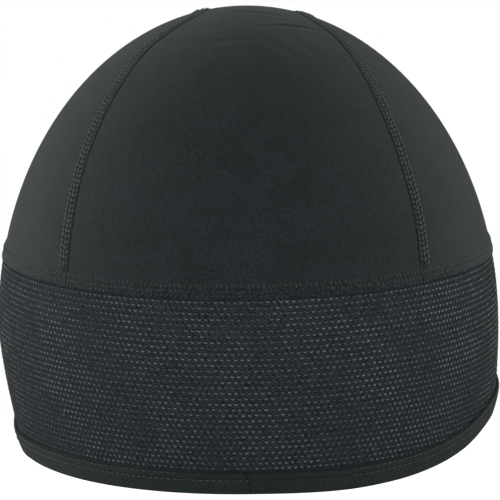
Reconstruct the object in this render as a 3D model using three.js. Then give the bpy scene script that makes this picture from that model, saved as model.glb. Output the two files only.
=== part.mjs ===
// Helmet liner cap: a thin stretch skull cap, modelled in the shape it takes when worn.
// Units are millimetres, +Z is up, the back of the cap faces -Y and its right side is at +X.
// The origin is the inside of the crown's top, where the crown of a head touches it.

import * as THREE from 'three';

// Driving dimensions of the worn form, outside
const CAP_WIDTH = 157.2;
const BACK_DEPTH = 97;
const FRONT_DEPTH = 99;
const CROWN_RISE = 99;

// Below its widest level the cap comes in by these amounts over the reach, as a power of the drop:
// along a parabola, and almost straight at the left side
const TUCK_REACH = 35;
const TUCK_LEFT = 5.9;
const TUCK_RIGHT = 2.6;
const TUCK_BACK = 7;
const TUCK_FRONT = 3;
const TUCK_POWER = 2;
const LEFT_POWER = 1.35;

// Where the band is joined to the crown, below the top, and how deep the band hangs at the back
const SEAM_DROP = 75.2;
const BAND_DEPTH = 61.6;

// Knits and seams
const CROWN_WALL = 1.1;
const MESH_WALL = 1;
const CROWN_SEAM_WIDTH = 5.2;
const BAND_SEAM_WIDTH = 4.9;
const SEAM_PROUD = 0.45;
const SEAM_INSIDE = 0.35;
const HEM_HEIGHT = 8.4;
const BINDING_WALL = 0.8;
const HEM_PULL = 1.1;
const HEM_PULL_REACH = 10;
const GAP = 0.3;

// How finely the surfaces are divided
const AROUND = 84;
const CENTRE_ROWS = 34;
const CENTRE_COLUMNS = 10;
const SIDE_ROWS = 28;
const SIDE_COLUMNS = 11;
const SEAM_ROWS = 46;
const BAND_ROWS = 4;
const FOLD_STEPS = 4;
const LINE_SAMPLES = 360;

// Two points closer than this are one point
const SAME_POINT = 1e-6;

// The crown seams: half the width of the middle panel and how far its middle leans to the right,
// both as shares of half the cap's width, against the tilt over the top: -1 is level with the
// widest ring at the back, 0 is the top and 1 is level with the widest ring at the front
const CROWN_SEAM = [
  { tilt: -1.3, half: 0.737, lean: -0.013 },
  { tilt: -1.0, half: 0.732, lean: -0.013 },
  { tilt: -0.8, half: 0.693, lean: -0.015 },
  { tilt: -0.66, half: 0.674, lean: -0.014 },
  { tilt: -0.5, half: 0.626, lean: -0.018 },
  { tilt: -0.36, half: 0.553, lean: -0.015 },
  { tilt: -0.25, half: 0.478, lean: -0.002 },
  { tilt: -0.17, half: 0.411, lean: 0.009 },
  { tilt: -0.1, half: 0.327, lean: 0.033 },
  { tilt: -0.04, half: 0.25, lean: 0.038 },
  { tilt: 0.03, half: 0.21, lean: 0.036 },
  { tilt: 0.12, half: 0.195, lean: 0.03 },
  { tilt: 0.22, half: 0.215, lean: 0.02 },
  { tilt: 0.36, half: 0.315, lean: 0.01 },
  { tilt: 0.52, half: 0.44, lean: 0 },
  { tilt: 0.7, half: 0.535, lean: 0 },
  { tilt: 0.86, half: 0.585, lean: 0 },
  { tilt: 1.3, half: 0.62, lean: 0 },
];

// The hem: depth of the band as a share of BAND_DEPTH, against the turn round the cap.
// Turn 0 is the middle of the back, 0.25 the right side, 0.5 the middle of the front.
const HEM_LINE = [
  { turn: 0.0, depth: 1.0 },
  { turn: 0.06, depth: 1.007 },
  { turn: 0.1, depth: 0.995 },
  { turn: 0.13, depth: 0.973 },
  { turn: 0.16, depth: 0.937 },
  { turn: 0.2, depth: 0.875 },
  { turn: 0.25, depth: 0.84 },
  { turn: 0.31, depth: 0.79 },
  { turn: 0.4, depth: 0.655 },
  { turn: 0.5, depth: 0.56 },
  { turn: 0.6, depth: 0.66 },
  { turn: 0.68, depth: 0.865 },
  { turn: 0.73, depth: 0.98 },
  { turn: 0.77, depth: 1.03 },
  { turn: 0.81, depth: 1.01 },
  { turn: 0.87, depth: 1.006 },
  { turn: 1.0, depth: 1.0 },
];

// Heights worked out from the sizes above
const TOP = CROWN_WALL;
const WIDEST = TOP - CROWN_RISE;
const SEAM_LEVEL = TOP - SEAM_DROP;
const CROWN_EDGE = SEAM_LEVEL + BAND_SEAM_WIDTH / 2 + GAP;
const MESH_TOP = SEAM_LEVEL - BAND_SEAM_WIDTH / 2 - GAP;
const HALF_WIDTH = CAP_WIDTH / 2;
const FOLD_RADIUS = MESH_WALL / 2 + GAP + BINDING_WALL;

// Materials
const crownKnit = new THREE.MeshStandardMaterial({ color: 0x32373a, roughness: 0.85, metalness: 0 });
const eyeletKnit = new THREE.MeshStandardMaterial({ color: 0x272c2f, roughness: 0.9, metalness: 0 });
const thread = new THREE.MeshStandardMaterial({ color: 0x3a3f42, roughness: 0.8, metalness: 0 });
const binding = new THREE.MeshStandardMaterial({ color: 0x2c3133, roughness: 0.85, metalness: 0 });

const HALF_TURN = Math.PI;
const QUARTER_TURN = Math.PI / 2;

// Smooth curve through a table: a cubic between each two rows, level where the column turns back
function readTable(rows, key, column, at) {
  const last = rows.length - 1;
  const x = THREE.MathUtils.clamp(at, rows[0][key], rows[last][key]);
  let i = 0;
  while (i < last - 1 && x > rows[i + 1][key]) i += 1;
  const step = (k) => rows[k + 1][key] - rows[k][key];
  const rise = (k) => (rows[k + 1][column] - rows[k][column]) / step(k);
  const slope = (k) => {
    if (k === 0 || k === last) return 0;
    const before = rise(k - 1);
    const after = rise(k);
    return before * after <= 0 ? 0 : (2 * before * after) / (before + after);
  };
  const width = step(i);
  const t = (x - rows[i][key]) / width;
  const a = rows[i][column];
  const b = rows[i + 1][column];
  const sa = slope(i) * width;
  const sb = slope(i + 1) * width;
  const t2 = t * t;
  const t3 = t2 * t;
  return a * (2 * t3 - 3 * t2 + 1) + b * (3 * t2 - 2 * t3) + sa * (t3 - 2 * t2 + t) + sb * (t3 - t2);
}

// Half width and half depth of the level ring at a height, and how fast they change with height.
// Above the widest level they follow an ellipse, below it they come in as the tuck says.
function ringAt(z, toRight, toFront) {
  const halfDepth = toFront ? FRONT_DEPTH : BACK_DEPTH;
  if (z >= WIDEST) {
    const up = Math.min((z - WIDEST) / CROWN_RISE, 1);
    const share = Math.sqrt(1 - up * up);
    return { width: HALF_WIDTH * share, depth: halfDepth * share, widthSlope: 0, depthSlope: 0 };
  }
  const drop = (WIDEST - z) / TUCK_REACH;
  const tuckSide = toRight ? TUCK_RIGHT : TUCK_LEFT;
  const sidePower = toRight ? TUCK_POWER : LEFT_POWER;
  const tuckDepth = toFront ? TUCK_FRONT : TUCK_BACK;
  return {
    width: HALF_WIDTH - tuckSide * drop ** sidePower,
    depth: halfDepth - tuckDepth * drop ** TUCK_POWER,
    widthSlope: (sidePower * tuckSide * drop ** (sidePower - 1)) / TUCK_REACH,
    depthSlope: (TUCK_POWER * tuckDepth * drop ** (TUCK_POWER - 1)) / TUCK_REACH,
  };
}

// Outside point of the cap at an angle round from the back and a height
function wallPoint(angle, z) {
  const ring = ringAt(z, Math.sin(angle) > 0, Math.cos(angle) < 0);
  return new THREE.Vector3(ring.width * Math.sin(angle), -ring.depth * Math.cos(angle), z);
}

// Outward direction of the wall at one of its points
function wallNormal(point) {
  const ring = ringAt(point.z, point.x > 0, point.y > 0);
  if (point.z >= WIDEST) {
    const depth = point.y > 0 ? FRONT_DEPTH : BACK_DEPTH;
    return new THREE.Vector3(
      point.x / HALF_WIDTH ** 2,
      point.y / depth ** 2,
      (point.z - WIDEST) / CROWN_RISE ** 2,
    ).normalize();
  }
  return new THREE.Vector3(
    point.x / ring.width ** 2,
    point.y / ring.depth ** 2,
    -(point.x ** 2 * ring.widthSlope) / ring.width ** 3 - (point.y ** 2 * ring.depthSlope) / ring.depth ** 3,
  ).normalize();
}

function raised(point, height) {
  return point.clone().addScaledVector(wallNormal(point), height);
}

// The wall as a stretched ball: a direction from the middle of the widest ring names a wall point
function pointOf(direction) {
  const angle = Math.atan2(direction.x, -direction.y);
  return wallPoint(angle, WIDEST + CROWN_RISE * direction.z);
}

function directionOf(point) {
  const depth = point.y > 0 ? FRONT_DEPTH : BACK_DEPTH;
  return new THREE.Vector3(
    point.x / HALF_WIDTH,
    point.y / depth,
    (point.z - WIDEST) / CROWN_RISE,
  ).normalize();
}

// Angle round from the back of a wall point
function angleOf(point) {
  const depth = point.y > 0 ? FRONT_DEPTH : BACK_DEPTH;
  return Math.atan2(point.x / HALF_WIDTH, -point.y / depth);
}

function between(from, to, share) {
  return from.clone().lerp(to, share).normalize();
}

// Direction of a place on the crown: sideways share of the half width, and tilt from the top,
// negative to the back and positive to the front
function crownDirection(side, tilt) {
  const across = Math.asin(side);
  const along = tilt * QUARTER_TURN;
  return new THREE.Vector3(
    side,
    Math.cos(across) * Math.sin(along),
    Math.cos(across) * Math.cos(along),
  );
}

// Directions along a line that runs beside a crown seam, the right one (side 1) or the left one
// (side -1), at a distance from its middle (positive away from the middle panel), from low at the
// back over the top to low at the front
function lineBesideSeam(side, distance) {
  const start = CROWN_SEAM[0].tilt;
  const end = CROWN_SEAM[CROWN_SEAM.length - 1].tilt;
  const nudge = (end - start) / LINE_SAMPLES;
  const seamPoint = (tilt) => {
    const half = readTable(CROWN_SEAM, 'tilt', 'half', tilt);
    const lean = readTable(CROWN_SEAM, 'tilt', 'lean', tilt);
    return pointOf(crownDirection(side * half + lean, tilt));
  };
  const line = [];
  for (let i = 0; i <= LINE_SAMPLES; i += 1) {
    const tilt = THREE.MathUtils.lerp(start, end, i / LINE_SAMPLES);
    const point = seamPoint(tilt);
    const along = seamPoint(tilt + nudge).sub(seamPoint(tilt - nudge)).normalize();
    const across = along.cross(wallNormal(point)).normalize();
    line.push(directionOf(point.addScaledVector(across, side * distance)));
  }
  return line;
}

// The stretch of a line above a height, as points of equal spacing
function resampled(line, level, count) {
  const points = line.map(pointOf);
  const first = points.findIndex((p) => p.z > level);
  const last = points.length - 1 - [...points].reverse().findIndex((p) => p.z > level);
  const crossing = (low, high) => {
    const share = (level - low.z) / (high.z - low.z);
    return wallPoint(angleOf(low.clone().lerp(high, share)), level);
  };
  const kept = [
    crossing(points[first - 1], points[first]),
    ...points.slice(first, last + 1),
    crossing(points[last + 1], points[last]),
  ];
  const path = new THREE.CurvePath();
  for (let i = 0; i + 1 < kept.length; i += 1) {
    path.add(new THREE.LineCurve3(kept[i], kept[i + 1]));
  }
  const even = [];
  for (let i = 0; i < count; i += 1) {
    even.push(pointOf(directionOf(path.getPointAt(i / (count - 1)))));
  }
  even[0] = kept[0];
  even[count - 1] = kept[kept.length - 1];
  return even;
}

// Closed body through loops of points; a ring joins its last loop to its first, and an open run
// is capped by pairing each point of a loop's outer half with its partner in the inner half
function loft(loops, isRing) {
  const size = loops[0].length;
  const positions = [];
  const indices = [];
  loops.forEach((loop) => loop.forEach((p) => positions.push(p.x, p.y, p.z)));
  const triangle = (a, b, c) => {
    const [pa, pb, pc] = [a, b, c].map((k) => new THREE.Vector3().fromArray(positions, 3 * k));
    const shortest = Math.min(pa.distanceTo(pb), pb.distanceTo(pc), pc.distanceTo(pa));
    if (shortest > SAME_POINT) indices.push(a, b, c);
  };
  const quad = (a, b, c, d) => {
    triangle(a, b, c);
    triangle(a, c, d);
  };
  const spans = isRing ? loops.length : loops.length - 1;
  for (let i = 0; i < spans; i += 1) {
    const here = i * size;
    const next = ((i + 1) % loops.length) * size;
    for (let j = 0; j < size; j += 1) {
      const k = (j + 1) % size;
      quad(here + j, next + j, next + k, here + k);
    }
  }
  if (!isRing) {
    const end = (loops.length - 1) * size;
    for (let j = 0; j < size / 2 - 1; j += 1) {
      const inner = size - 1 - j;
      quad(j, j + 1, inner - 1, inner);
      quad(end + j, end + inner, end + inner - 1, end + j + 1);
    }
  }
  const geometry = new THREE.BufferGeometry();
  geometry.setAttribute('position', new THREE.Float32BufferAttribute(positions, 3));
  geometry.setIndex(indices);
  return outward(geometry);
}

// Turns the faces round if they point inwards, which the sign of the enclosed volume tells
function outward(geometry) {
  const position = geometry.getAttribute('position');
  const index = geometry.getIndex();
  const corner = (k) => new THREE.Vector3().fromBufferAttribute(position, index.getX(k));
  let volume = 0;
  for (let k = 0; k < index.count; k += 3) {
    volume += corner(k).dot(corner(k + 1).cross(corner(k + 2)));
  }
  if (volume < 0) {
    for (let k = 0; k < index.count; k += 3) {
      const second = index.getX(k + 1);
      index.setX(k + 1, index.getX(k + 2));
      index.setX(k + 2, second);
    }
  }
  geometry.computeVertexNormals();
  return geometry;
}

// Loop of points round a wall: a row on the outside, and the same row again at the inner face
function wallLoop(row, thickness) {
  return [...row, ...row.map((p) => raised(p, -thickness)).reverse()];
}

// Middle panel: columns run from the back over the top to the front, side by side
function crownCentre() {
  const distance = -CROWN_SEAM_WIDTH / 2 - GAP;
  const leftEdge = lineBesideSeam(-1, distance);
  const rightEdge = lineBesideSeam(1, distance);
  const columns = [];
  for (let j = 0; j <= CENTRE_COLUMNS; j += 1) {
    const line = leftEdge.map((left, k) => between(left, rightEdge[k], j / CENTRE_COLUMNS));
    columns.push(resampled(line, CROWN_EDGE, CENTRE_ROWS));
  }
  const loops = [];
  for (let i = 0; i < CENTRE_ROWS; i += 1) {
    loops.push(wallLoop(columns.map((column) => column[i]), CROWN_WALL));
  }
  return loft(loops, false);
}

// Side panel: rows run from the seam down to the band, and close up at both lower corners
function crownSide(side) {
  const seamEdge = resampled(lineBesideSeam(side, CROWN_SEAM_WIDTH / 2 + GAP), CROWN_EDGE, SIDE_ROWS);
  const startAngle = angleOf(seamEdge[0]);
  const endAngle = angleOf(seamEdge[SIDE_ROWS - 1]);
  const loops = seamEdge.map((seamPoint, i) => {
    const angle = THREE.MathUtils.lerp(startAngle, endAngle, i / (SIDE_ROWS - 1));
    const bandPoint = wallPoint(angle, CROWN_EDGE);
    const from = directionOf(seamPoint);
    const to = directionOf(bandPoint);
    const row = [seamPoint];
    for (let j = 1; j < SIDE_COLUMNS; j += 1) row.push(pointOf(between(from, to, j / SIDE_COLUMNS)));
    row.push(bandPoint);
    return wallLoop(row, CROWN_WALL);
  });
  return loft(loops, false);
}

// Profile of a flatlock ribbon: share of its half width, and height over the wall
const RIBBON = [
  { across: -1, height: 0 },
  { across: -0.62, height: SEAM_PROUD },
  { across: 0.62, height: SEAM_PROUD },
  { across: 1, height: 0 },
];
const RIBBON_THICKNESS = CROWN_WALL + SEAM_INSIDE;

// Crown seam: a ribbon along the gap between two panels
function crownSeam(side) {
  const lines = RIBBON.map((r) => {
    const line = lineBesideSeam(side, (r.across * CROWN_SEAM_WIDTH) / 2);
    return resampled(line, CROWN_EDGE, SEAM_ROWS);
  });
  const loops = [];
  for (let i = 0; i < SEAM_ROWS; i += 1) {
    const outer = RIBBON.map((r, k) => raised(lines[k][i], r.height));
    const inner = lines.map((line) => raised(line[i], -RIBBON_THICKNESS)).reverse();
    loops.push([...outer, ...inner]);
  }
  return loft(loops, false);
}

// One loop for each step round the cap, made by a function of the angle
function ringOf(loopAt) {
  const loops = [];
  for (let i = 0; i < AROUND; i += 1) loops.push(loopAt((2 * HALF_TURN * i) / AROUND));
  return loft(loops, true);
}

function bandSeam() {
  return ringOf((angle) => {
    const rows = RIBBON.map((r) => wallPoint(angle, SEAM_LEVEL + (r.across * BAND_SEAM_WIDTH) / 2));
    const outer = rows.map((p, k) => raised(p, RIBBON[k].height));
    const inner = rows.map((p) => raised(p, -RIBBON_THICKNESS)).reverse();
    return [...outer, ...inner];
  });
}

// Lowest level of the cap at an angle round from the back
function hemLevel(angle) {
  const turn = THREE.MathUtils.euclideanModulo(angle / (2 * HALF_TURN), 1);
  return SEAM_LEVEL - BAND_DEPTH * readTable(HEM_LINE, 'turn', 'depth', turn);
}

// Wall point near the hem: the elastic binding draws the edge in
function bandPoint(angle, z, height) {
  const above = THREE.MathUtils.clamp((z - hemLevel(angle)) / HEM_PULL_REACH, 0, 1);
  const pull = HEM_PULL * (1 - above) ** 2;
  return raised(wallPoint(angle, z), height - pull);
}

// Mesh band: from under the band seam down into the fold of the binding
function meshBand() {
  return ringOf((angle) => {
    const hem = hemLevel(angle);
    const levels = [];
    for (let k = 0; k <= BAND_ROWS; k += 1) {
      levels.push(THREE.MathUtils.lerp(MESH_TOP, hem + HEM_PULL_REACH, k / BAND_ROWS));
    }
    levels.push(hem + HEM_HEIGHT, hem + FOLD_RADIUS + GAP);
    const outer = levels.map((z) => bandPoint(angle, z, 0));
    const inner = levels.map((z) => bandPoint(angle, z, -MESH_WALL));
    return [...outer, ...inner.reverse()];
  });
}

// Binding: a strip folded round the edge of the mesh, outside leg, round fold and inside leg
function hemBinding() {
  return ringOf((angle) => {
    const hem = hemLevel(angle);
    const middle = -MESH_WALL / 2;
    const side = (radius) => {
      const points = [bandPoint(angle, hem + HEM_HEIGHT, middle + radius)];
      for (let k = 0; k <= FOLD_STEPS; k += 1) {
        const bend = (HALF_TURN * k) / FOLD_STEPS;
        const z = hem + FOLD_RADIUS - radius * Math.sin(bend);
        points.push(bandPoint(angle, z, middle + radius * Math.cos(bend)));
      }
      points.push(bandPoint(angle, hem + HEM_HEIGHT, middle - radius));
      return points;
    };
    return [...side(FOLD_RADIUS), ...side(FOLD_RADIUS - BINDING_WALL).reverse()];
  });
}

function piece(name, geometry, material) {
  const object = new THREE.Mesh(geometry, material);
  object.name = name;
  return object;
}

const cap = new THREE.Group();
cap.name = 'helmet_liner_cap';
cap.add(piece('crown_centre', crownCentre(), crownKnit));
cap.add(piece('crown_right', crownSide(1), crownKnit));
cap.add(piece('crown_left', crownSide(-1), crownKnit));
cap.add(piece('crown_seam_right', crownSeam(1), thread));
cap.add(piece('crown_seam_left', crownSeam(-1), thread));
cap.add(piece('band_seam', bandSeam(), thread));
cap.add(piece('mesh_band', meshBand(), eyeletKnit));
cap.add(piece('hem_binding', hemBinding(), binding));

export default cap;
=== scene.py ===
# %% [markdown]
# # Helmet liner cap
# A thin stretch cap that is worn under a helmet, seen from the back. The crown is cut from
# three panels of brushed warp knit, joined by two flatlock seams. A band of eyelet mesh is
# joined to it by a third flatlock seam, and a folded binding finishes the edge.
#
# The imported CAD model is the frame. It gives the form, the places and the sizes, and every
# soft piece here is a finer surface that stands where one of its solids stands.

# %% Load the frame
import math

import bmesh
import bpy
import numpy as np
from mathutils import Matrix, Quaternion, Vector


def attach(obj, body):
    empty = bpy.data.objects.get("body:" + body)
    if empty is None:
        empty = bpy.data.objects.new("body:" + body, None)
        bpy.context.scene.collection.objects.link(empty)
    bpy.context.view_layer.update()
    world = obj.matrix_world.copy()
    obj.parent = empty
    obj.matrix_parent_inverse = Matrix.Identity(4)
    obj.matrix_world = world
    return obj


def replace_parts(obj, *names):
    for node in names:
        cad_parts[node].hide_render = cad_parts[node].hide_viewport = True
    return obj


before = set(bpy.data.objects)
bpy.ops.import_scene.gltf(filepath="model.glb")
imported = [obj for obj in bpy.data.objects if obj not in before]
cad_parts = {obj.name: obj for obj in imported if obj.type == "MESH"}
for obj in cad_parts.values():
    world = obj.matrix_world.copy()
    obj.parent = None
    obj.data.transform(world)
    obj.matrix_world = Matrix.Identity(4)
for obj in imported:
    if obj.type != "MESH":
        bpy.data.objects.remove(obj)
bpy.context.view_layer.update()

print("nodes:", sorted(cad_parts))

# %% [markdown]
# ## The sizes
# They are the same driving sizes as the solids have, in millimetres, as a pattern cutter
# writes them. MM turns them into Blender's metres at the moment a mesh is made.

# %% Sizes of the worn form
MM = 0.001

CAP_WIDTH = 157.2
BACK_DEPTH = 97.0
FRONT_DEPTH = 99.0
CROWN_RISE = 99.0
# Below the widest ring the wall has come in by these sizes after a drop of TUCK_REACH
TUCK_REACH = 35.0
TUCK_LEFT = 5.9
TUCK_RIGHT = 2.6
TUCK_BACK = 7.0
TUCK_FRONT = 3.0
TUCK_POWER = 2.0
LEFT_POWER = 1.35
SEAM_DROP = 75.2
BAND_DEPTH = 61.6

CROWN_WALL = 1.1
MESH_WALL = 1.0
CROWN_SEAM_WIDTH = 5.2
BAND_SEAM_WIDTH = 4.9
SEAM_PROUD = 0.45
SEAM_INSIDE = 0.35
HEM_HEIGHT = 8.4
BINDING_WALL = 0.8
# The elastic binding draws the edge in by HEM_PULL, from HEM_PULL_REACH above it down
HEM_PULL = 1.1
HEM_PULL_REACH = 10.0
GAP = 0.3

HALF_WIDTH = CAP_WIDTH / 2
TOP = CROWN_WALL
WIDEST = TOP - CROWN_RISE
SEAM_LEVEL = TOP - SEAM_DROP
FOLD_RADIUS = MESH_WALL / 2 + GAP + BINDING_WALL
print(f"widest ring {WIDEST:.1f} mm and band seam {SEAM_LEVEL:.1f} mm below the head's crown")

# %% [markdown]
# ## Two drawn lines
# The crown seams and the hem are free curves, so each is a short table read by a smooth
# curve. Everything is a share of a size above, so the lines follow when a size changes.

# %% The crown seams and the hem as tables
def table(names, rows):
    """Rows of numbers whose columns are read by name."""
    return np.array(rows, dtype=[(name, float) for name in names.split()])


CROWN_SEAM = table(
    "tilt half lean",
    [
        (-1.3, 0.737, -0.013),
        (-1.0, 0.732, -0.013),
        (-0.8, 0.693, -0.015),
        (-0.66, 0.674, -0.014),
        (-0.5, 0.626, -0.018),
        (-0.36, 0.553, -0.015),
        (-0.25, 0.478, -0.002),
        (-0.17, 0.411, 0.009),
        (-0.1, 0.327, 0.033),
        (-0.04, 0.25, 0.038),
        (0.03, 0.21, 0.036),
        (0.12, 0.195, 0.03),
        (0.22, 0.215, 0.02),
        (0.36, 0.315, 0.01),
        (0.52, 0.44, 0.0),
        (0.7, 0.535, 0.0),
        (0.86, 0.585, 0.0),
        (1.3, 0.62, 0.0),
    ],
)
HEM_LINE = table(
    "turn depth",
    [
        (0.0, 1.0),
        (0.06, 1.007),
        (0.1, 0.995),
        (0.13, 0.973),
        (0.16, 0.937),
        (0.2, 0.875),
        (0.25, 0.84),
        (0.31, 0.79),
        (0.4, 0.655),
        (0.5, 0.56),
        (0.6, 0.66),
        (0.68, 0.865),
        (0.73, 0.98),
        (0.77, 1.03),
        (0.81, 1.01),
        (0.87, 1.006),
        (1.0, 1.0),
    ],
)


def read_table(rows, key, column, at):
    """A cubic between each two rows. Its slope at a row is the harmonic mean of the slopes
    on both sides, and level at the ends and where the column turns back."""
    x, y = rows[key], rows[column]
    at = np.clip(at, x[0], x[-1])
    i = np.clip(np.searchsorted(x, at) - 1, 0, len(x) - 2)
    width = np.diff(x)
    rise = np.diff(y) / width
    before, after = rise[:-1], rise[1:]
    turns = before * after <= 0
    slope = np.zeros(len(x))
    slope[1:-1] = np.where(turns, 0, 2 * before * after / np.where(turns, 1, before + after))
    t = (at - x[i]) / width[i]
    ends = y[i] * (2 * t**3 - 3 * t**2 + 1) + y[i + 1] * (3 * t**2 - 2 * t**3)
    bends = slope[i] * (t**3 - 2 * t**2 + t) + slope[i + 1] * (t**3 - t**2)
    return ends + width[i] * bends


# %% [markdown]
# ## The form
# A worn cap is a stretched ball with its lower part tucked in. A point is named either by
# its angle round from the back and its height, or by a direction from the middle of the
# widest ring. Both names are formulas on whole arrays, so one call makes a whole surface.

# %% The wall as formulas
def unit(vectors):
    return vectors / np.linalg.norm(vectors, axis=-1, keepdims=True)


def ring_at(z, to_right, to_front):
    """Half width and half depth of the level ring at z, and how they change with height.
    Above the widest ring they follow an ellipse, below it they come in by a power of the
    drop: along a parabola, and almost straight at the left side."""
    half_depth = np.where(to_front, FRONT_DEPTH, BACK_DEPTH)
    share = np.sqrt(1 - np.clip((z - WIDEST) / CROWN_RISE, 0, 1) ** 2)
    drop = np.clip((WIDEST - z) / TUCK_REACH, 0, None)
    tuck_side = np.where(to_right, TUCK_RIGHT, TUCK_LEFT)
    side_power = np.where(to_right, TUCK_POWER, LEFT_POWER)
    tuck_depth = np.where(to_front, TUCK_FRONT, TUCK_BACK)
    width = HALF_WIDTH * share - tuck_side * drop**side_power
    depth = half_depth * share - tuck_depth * drop**TUCK_POWER
    width_slope = side_power * tuck_side * drop ** (side_power - 1) / TUCK_REACH
    depth_slope = TUCK_POWER * tuck_depth * drop ** (TUCK_POWER - 1) / TUCK_REACH
    return width, depth, width_slope, depth_slope


def wall_point(angle, z):
    """Outside point: half width times the sine and half depth times the cosine of the
    angle round from the back, at height z."""
    angle, z = np.broadcast_arrays(np.asarray(angle, float), np.asarray(z, float))
    width, depth, _, _ = ring_at(z, np.sin(angle) > 0, np.cos(angle) < 0)
    return np.stack([width * np.sin(angle), -depth * np.cos(angle), z], axis=-1)


def wall_normal(point):
    """Outward direction: the gradient of x²/width² + y²/depth² with the height's part."""
    x, y, z = np.moveaxis(point, -1, 0)
    width, depth, width_slope, depth_slope = ring_at(z, x > 0, y > 0)
    above = z >= WIDEST
    width = np.where(above, HALF_WIDTH, width)
    depth = np.where(above, np.where(y > 0, FRONT_DEPTH, BACK_DEPTH), depth)
    tucked = -(x**2) * width_slope / width**3 - y**2 * depth_slope / depth**3
    up = np.where(above, (z - WIDEST) / CROWN_RISE**2, tucked)
    return unit(np.stack([x / width**2, y / depth**2, up], axis=-1))


def raised(point, height):
    return point + np.asarray(height)[..., None] * wall_normal(point)


def point_of(direction):
    """Wall point in a direction from the middle of the widest ring."""
    angle = np.arctan2(direction[..., 0], -direction[..., 1])
    return wall_point(angle, WIDEST + CROWN_RISE * direction[..., 2])


def direction_of(point):
    depth = np.where(point[..., 1] > 0, FRONT_DEPTH, BACK_DEPTH)
    width, rise = np.full_like(depth, HALF_WIDTH), np.full_like(depth, CROWN_RISE)
    half_sizes = np.stack([width, depth, rise], axis=-1)
    return unit((point - [0, 0, WIDEST]) / half_sizes)


corners = np.array([v.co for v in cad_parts["crown_centre"].data.vertices]) / MM
on_wall = point_of(direction_of(corners))
off_wall = np.abs(((corners - on_wall) * wall_normal(on_wall)).sum(axis=-1))
print(f"corners of the middle panel's solid are 0 or {off_wall.max():.2f} mm off this wall")

# %% [markdown]
# ## Lines on the wall
# A crown seam is a line over the top of the ball. A piece beside it keeps a distance in
# millimetres across the line, so each panel and each row of stitches asks one function.

# %% Lines beside the crown seams, and the hem
# A seam's way ahead is measured over this tilt on both sides
NUDGE = 0.005
HALVINGS = 40
RING_POINTS = 4001
BACK_LIMIT = CROWN_SEAM["tilt"][0]
FRONT_LIMIT = CROWN_SEAM["tilt"][-1]


def seam_middle(side, tilt):
    """Middle of a crown seam: sideways share of the half width, tilted over the top."""
    across = side * read_table(CROWN_SEAM, "tilt", "half", tilt)
    across = across + read_table(CROWN_SEAM, "tilt", "lean", tilt)
    flat = np.sqrt(1 - across**2)
    turn = tilt * math.pi / 2
    return point_of(np.stack([across, flat * np.sin(turn), flat * np.cos(turn)], axis=-1))


def beside_seam(side, tilt, distance):
    """Wall point at a distance across the seam, positive away from the middle panel."""
    tilt, distance = np.broadcast_arrays(tilt, distance)
    middle = seam_middle(side, tilt)
    ahead = seam_middle(side, tilt + NUDGE) - seam_middle(side, tilt - NUDGE)
    across = unit(np.cross(ahead, wall_normal(middle)))
    return point_of(direction_of(middle + side * distance[..., None] * across))


def tilts_at(line, level, count=1):
    """The tilts where count lines over the crown cross a level, at the back and in front. Each
    is found by halving the span between a limit and the top."""
    found = []
    for limit in (BACK_LIMIT, FRONT_LIMIT):
        low, high = np.full(count, limit), np.zeros(count)
        for _ in range(HALVINGS):
            middle = (low + high) / 2
            above = line(middle)[..., 2] > level
            low, high = np.where(above, low, middle), np.where(above, middle, high)
        found.append(middle)
    return found


def hem_level(angle):
    turn = np.mod(np.asarray(angle) / (2 * math.pi), 1)
    return SEAM_LEVEL - BAND_DEPTH * read_table(HEM_LINE, "turn", "depth", turn)


def band_point(angle, z, height):
    """Wall point near the hem: the elastic binding draws the edge in along a parabola."""
    above = np.clip((z - hem_level(angle)) / HEM_PULL_REACH, 0, 1)
    return raised(wall_point(angle, z), height - HEM_PULL * (1 - above) ** 2)


# The ring's length up to each of many angles, as equal angles of an ellipse aren't equal steps
fine_angle = np.linspace(0, 2 * math.pi, RING_POINTS)
fine_ring = wall_point(fine_angle, WIDEST)
fine_length = np.append(0, np.cumsum(np.linalg.norm(np.diff(fine_ring, axis=0), axis=-1)))
AROUND = fine_length[-1]


def angle_at(length):
    whole = np.floor(length / AROUND)
    return np.interp(length - whole * AROUND, fine_length, fine_angle) + 2 * math.pi * whole


print(f"the widest ring is {AROUND:.0f} mm round, and the hem drops {-hem_level(0):.0f} mm at the back")

# %% [markdown]
# ## From arrays to meshes
# A thin piece is a shell: a grid of points for the outside, a second for the inside, and a
# rim that joins them. The faces are made from index arrays, and Blender gets whole arrays,
# so a piece with a hundred thousand faces takes a moment.

# %% Helpers that turn grids into closed pieces
random = np.random.default_rng(7)


def quads_of(index, wrap):
    """Faces between neighbours of an index grid; wrap joins its last row to its first."""
    following = np.roll(index, -1, axis=0) if wrap else index[1:]
    here = index if wrap else index[:-1]
    faces = [here[:, :-1], following[:, :-1], following[:, 1:], here[:, 1:]]
    return np.stack(faces, axis=-1).reshape(-1, 4)


def shell(outer, inner, wrap=False):
    """Closed thin body between two grids of equal size, whose rows may form a ring."""
    rows, columns = outer.shape[:2]
    index = np.arange(rows * columns).reshape(rows, columns)
    inside = index + rows * columns
    rim_first = np.stack([inside[:, 0], index[:, 0]], axis=-1)
    rim_last = np.stack([index[:, -1], inside[:, -1]], axis=-1)
    faces = [quads_of(index, wrap), quads_of(inside[:, ::-1], wrap)]
    faces += [quads_of(rim_first, wrap), quads_of(rim_last, wrap)]
    if not wrap:
        start = np.stack([index[0], inside[0]], axis=0)
        end = np.stack([inside[-1], index[-1]], axis=0)
        faces += [quads_of(start[::-1], False), quads_of(end[::-1], False)]
    points = np.concatenate([outer.reshape(-1, 3), inner.reshape(-1, 3)])
    return points, outward(points, np.concatenate(faces))


def outward(points, faces):
    """Turns all faces round if the body's signed volume says that they point inwards."""
    corner = points[faces]
    first = corner[:, 0]
    volume = 0.0
    for k in range(1, faces.shape[1] - 1):
        volume += (first * np.cross(corner[:, k], corner[:, k + 1])).sum()
    return faces[:, ::-1] if volume < 0 else faces


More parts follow.
